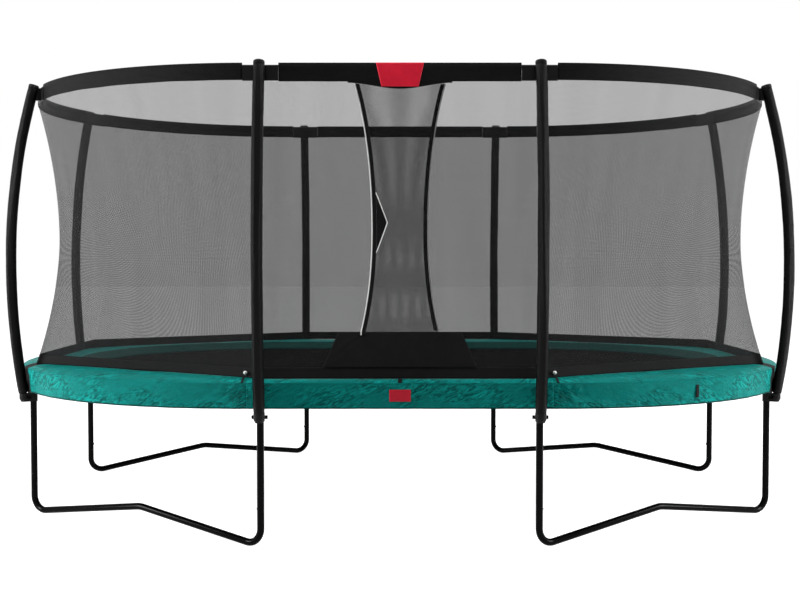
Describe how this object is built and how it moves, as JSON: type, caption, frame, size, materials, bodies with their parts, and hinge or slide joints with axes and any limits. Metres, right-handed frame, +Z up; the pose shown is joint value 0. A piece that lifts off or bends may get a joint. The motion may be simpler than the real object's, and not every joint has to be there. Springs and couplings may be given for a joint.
{
  "type": "trampoline",
  "caption": "Oval garden trampoline on W-shaped legs with bowed padded poles, an hourglass safety net with an overlapping door, a padded spring cover and a sprung jumping mat.",
  "frame": {"origin": "on the floor, under the middle of the jumping mat", "axes": "+X along the long side, +Y to the back (the door is at the front, -Y), +Z up"},
  "size_m": [5.2, 3.6916, 2.792],
  "materials": {
    "zinc": "galvanised",
    "black_steel": "black powder coat, glossy",
    "black_fabric": "coated woven polyester",
    "black_plastic": "moulded",
    "glass_fibre": "pultruded rod",
    "net_mesh": "fine knitted mesh, see-through",
    "ball_white": "moulded",
    "label_red": "plain coated patch",
    "pad_green": "PVC-coated fabric over foam",
    "spring_steel": "galvanised wire",
    "mat_black": "woven polypropylene",
    "flap_edge": "black strip with pale piping"
  },
  "bodies": {
    "frame": {"rail_front": "zinc", "rail_back": "zinc", "rail_end_left": "zinc", "rail_end_right": "zinc", "rail_corner_front_left": "zinc", "rail_corner_front_right": "zinc", "rail_corner_back_left": "zinc", "rail_corner_back_right": "zinc", "rail_tees": "zinc", "leg_base_front_left": "black_steel", "leg_base_front_right": "black_steel", "leg_base_back_left": "black_steel", "leg_base_back_right": "black_steel", "leg_uprights": "black_steel", "leg_screws": "black_steel", "pole_tubes": "black_steel", "pole_sleeves": "black_fabric", "pole_caps": "black_plastic", "pole_shoes": "black_plastic", "pole_shoe_bolts": "black_steel", "ring_rods": "glass_fibre", "ring_brackets": "black_plastic", "ring_covers": "black_plastic", "ring_sleeve_front": "black_fabric", "ring_sleeve_back": "black_fabric", "ring_sleeve_left": "black_fabric", "ring_sleeve_right": "black_fabric", "net_front_left": "net_mesh", "net_front_right": "net_mesh", "net_back": "net_mesh", "net_end_left": "net_mesh", "net_end_right": "net_mesh", "net_corner_front_left": "net_mesh", "net_corner_front_right": "net_mesh", "net_corner_back_left": "net_mesh", "net_corner_back_right": "net_mesh", "net_hem": "black_fabric", "door_threshold": "black_fabric", "door_header": "black_fabric", "net_tie_balls": "ball_white", "net_tie_straps": "black_fabric", "door_label": "label_red", "skirt_patch": "label_red", "size_tag": "black_fabric", "pad_front": "pad_green", "pad_back": "pad_green", "pad_corner_front_left": "pad_green", "pad_corner_front_right": "pad_green", "pad_corner_back_left": "pad_green", "pad_corner_back_right": "pad_green", "springs": "spring_steel"},
    "mat": {"mat": "mat_black", "mat_hem": "mat_black", "mat_rings": "spring_steel"},
    "outer_flap": {"outer_flap": "net_mesh", "outer_flap_edge": "flap_edge", "pull_tab": "black_fabric"},
    "inner_flap": {"inner_flap": "net_mesh", "inner_flap_edge": "flap_edge"}
  },
  "joints": [
    {"name": "mat_bounce", "type": "slide", "parent": "frame", "child": "mat", "axis": [0, 0, 1], "range_m": [-0.3, 0], "stiffness_N_per_m": 6000, "springref_m": 0.06, "deforming": ["springs"]},
    {"name": "outer_flap_swing", "type": "hinge", "parent": "frame", "child": "outer_flap", "pos_m": [0.3, -1.616, 1.9], "axis": [0, 0, 1], "range_deg": [0, 40], "stiffness_Nm_per_rad": 1.5},
    {"name": "inner_flap_swing", "type": "hinge", "parent": "frame", "child": "inner_flap", "pos_m": [-0.3, -1.489, 1.9], "axis": [0, 0, 1], "range_deg": [0, 40], "stiffness_Nm_per_rad": 1.5}
  ]
}
